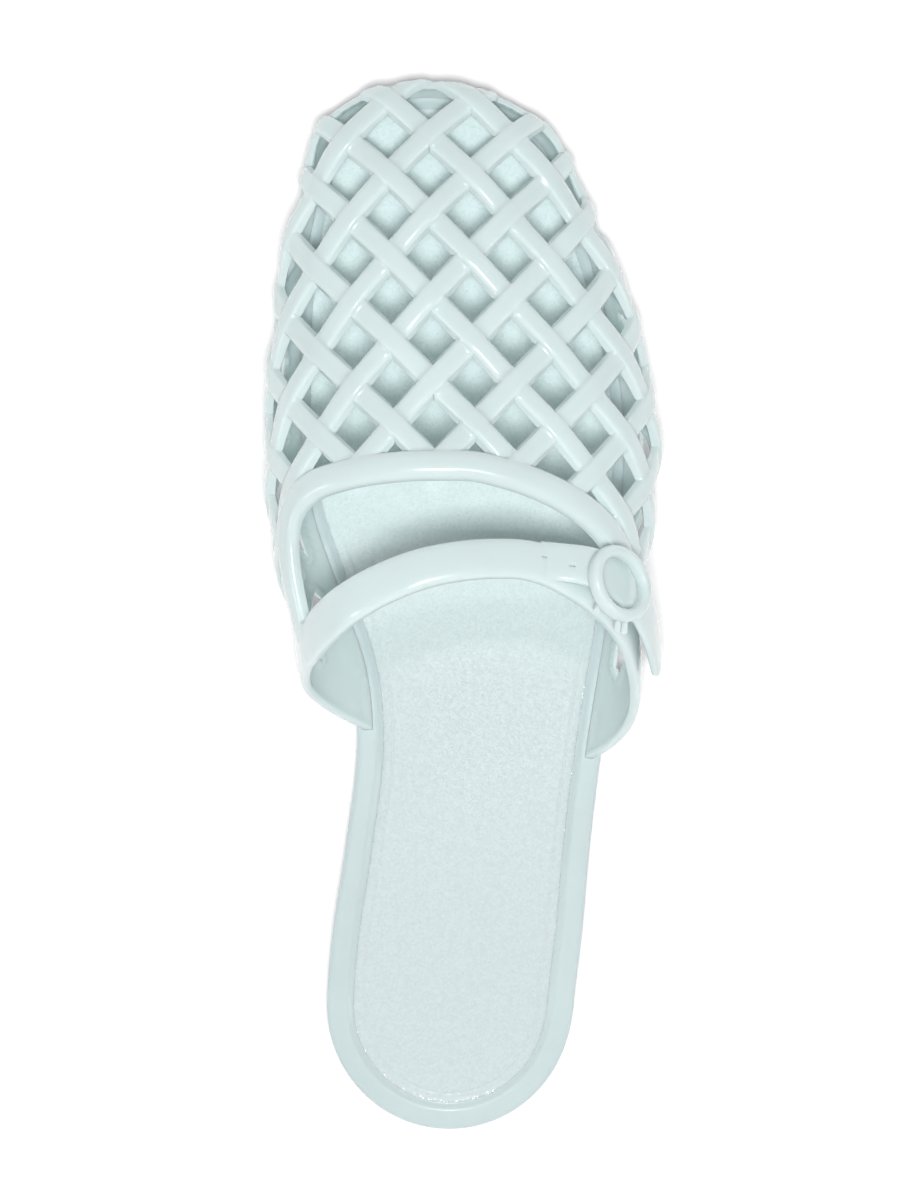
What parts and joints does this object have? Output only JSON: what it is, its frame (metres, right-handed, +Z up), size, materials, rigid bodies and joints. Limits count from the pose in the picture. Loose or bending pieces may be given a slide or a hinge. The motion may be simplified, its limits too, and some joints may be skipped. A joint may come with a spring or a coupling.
{
  "type": "mule sandal",
  "caption": "Flat moulded jelly mule for the right foot: woven closed-toe vamp, instep strap fastened by a ring buckle, open heel and a rimmed sole with a sock sheet.",
  "frame": {"origin": "on the floor under the middle of the shoe's length and width", "axes": "+Y to the toe, +X to the lateral side, +Z up"},
  "size_m": [0.096, 0.255, 0.0701],
  "materials": {
    "sole_moulding": "satin moulded soft plastic",
    "sock_sheet": "pearly sheet with fine glitter",
    "upper_moulding": "glossy moulded soft plastic",
    "ring_moulding": "glossy moulded soft plastic"
  },
  "bodies": {
    "root": {"outsole": "sole_moulding", "insole": "sock_sheet", "upper": "upper_moulding", "buckle": "ring_moulding"}
  },
  "joints": []
}
